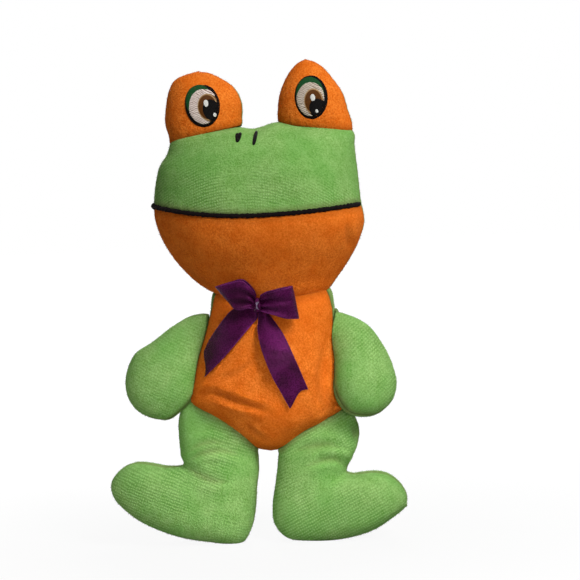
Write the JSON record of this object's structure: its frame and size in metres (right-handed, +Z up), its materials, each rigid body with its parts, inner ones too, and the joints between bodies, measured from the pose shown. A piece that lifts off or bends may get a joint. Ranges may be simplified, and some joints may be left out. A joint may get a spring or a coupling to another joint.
{
  "type": "plush frog",
  "caption": "Stuffed velour frog standing on two boots, with bulging embroidered eyes, a wide corded mouth and a satin ribbon bow.",
  "frame": {"origin": "on the floor under the middle of the toy's box", "axes": "+Z up through the head, the face and belly look along -Y, and +X points to the viewer's right"},
  "size_m": [0.1786, 0.081, 0.2881],
  "materials": {
    "green_velour": "ribbed velour",
    "orange_velour": "fine velour",
    "stuffing": "loose fibre",
    "black_thread": "thick cord and satin stitches",
    "plum_satin": "satin ribbon",
    "grey_thread": "thin thread",
    "lid_thread": "satin stitches",
    "pink_white_thread": "satin stitches",
    "brown_thread": "satin stitches",
    "white_thread": "satin stitches"
  },
  "bodies": {
    "torso": {"back_panel": "green_velour", "belly_panel": "orange_velour", "body_stuffing": "stuffing", "bow_knot": "plum_satin", "bow_loop_left": "plum_satin", "bow_loop_right": "plum_satin", "bow_stitch": "grey_thread", "bow_tail_left": "plum_satin", "bow_tail_right": "plum_satin"},
    "head": {"eye_back_panel_left": "green_velour", "eye_back_panel_right": "green_velour", "eye_front_panel_left": "orange_velour", "eye_front_panel_right": "orange_velour", "eye_glint_left": "white_thread", "eye_glint_right": "white_thread", "eye_iris_left": "brown_thread", "eye_iris_right": "brown_thread", "eye_lid_left": "lid_thread", "eye_lid_right": "lid_thread", "eye_outline_left": "black_thread", "eye_outline_right": "black_thread", "eye_pupil_left": "black_thread", "eye_pupil_right": "black_thread", "eye_spark_left": "white_thread", "eye_spark_right": "white_thread", "eye_stuffing_left": "stuffing", "eye_stuffing_right": "stuffing", "eye_white_left": "pink_white_thread", "eye_white_right": "pink_white_thread", "face_panel": "green_velour", "head_back_panel": "green_velour", "head_stuffing": "stuffing", "jaw_panel": "orange_velour", "mouth_cord": "black_thread", "nostril_left": "black_thread", "nostril_right": "black_thread"},
    "arm_left": {"arm_back_panel_left": "green_velour", "arm_front_panel_left": "green_velour", "arm_stuffing_left": "stuffing"},
    "arm_right": {"arm_back_panel_right": "green_velour", "arm_front_panel_right": "green_velour", "arm_stuffing_right": "stuffing"},
    "leg_left": {"leg_back_panel_left": "green_velour", "leg_front_panel_left": "green_velour", "leg_stuffing_left": "stuffing"},
    "leg_right": {"leg_back_panel_right": "green_velour", "leg_front_panel_right": "green_velour", "leg_stuffing_right": "stuffing"}
  },
  "joints": [
    {"name": "shoulder_left", "type": "hinge", "parent": "torso", "child": "arm_left", "pos_m": [-0.0267, 0.00262, 0.131], "axis": [-1, 0, 0], "range_deg": [0, 75]},
    {"name": "shoulder_right", "type": "hinge", "parent": "torso", "child": "arm_right", "pos_m": [0.0468, 0.00262, 0.131], "axis": [-1, 0, 0], "range_deg": [0, 75]},
    {"name": "hip_left", "type": "hinge", "parent": "torso", "child": "leg_left", "pos_m": [-0.0184, 0.00262, 0.0675], "axis": [-1, 0, 0], "range_deg": [-20, 70]},
    {"name": "hip_right", "type": "hinge", "parent": "torso", "child": "leg_right", "pos_m": [0.0313, 0.00262, 0.0675], "axis": [-1, 0, 0], "range_deg": [-20, 70]},
    {"name": "neck", "type": "hinge", "parent": "torso", "child": "head", "pos_m": [0.0098, 0.00262, 0.152], "axis": [1, 0, 0], "range_deg": [-15, 8]}
  ]
}
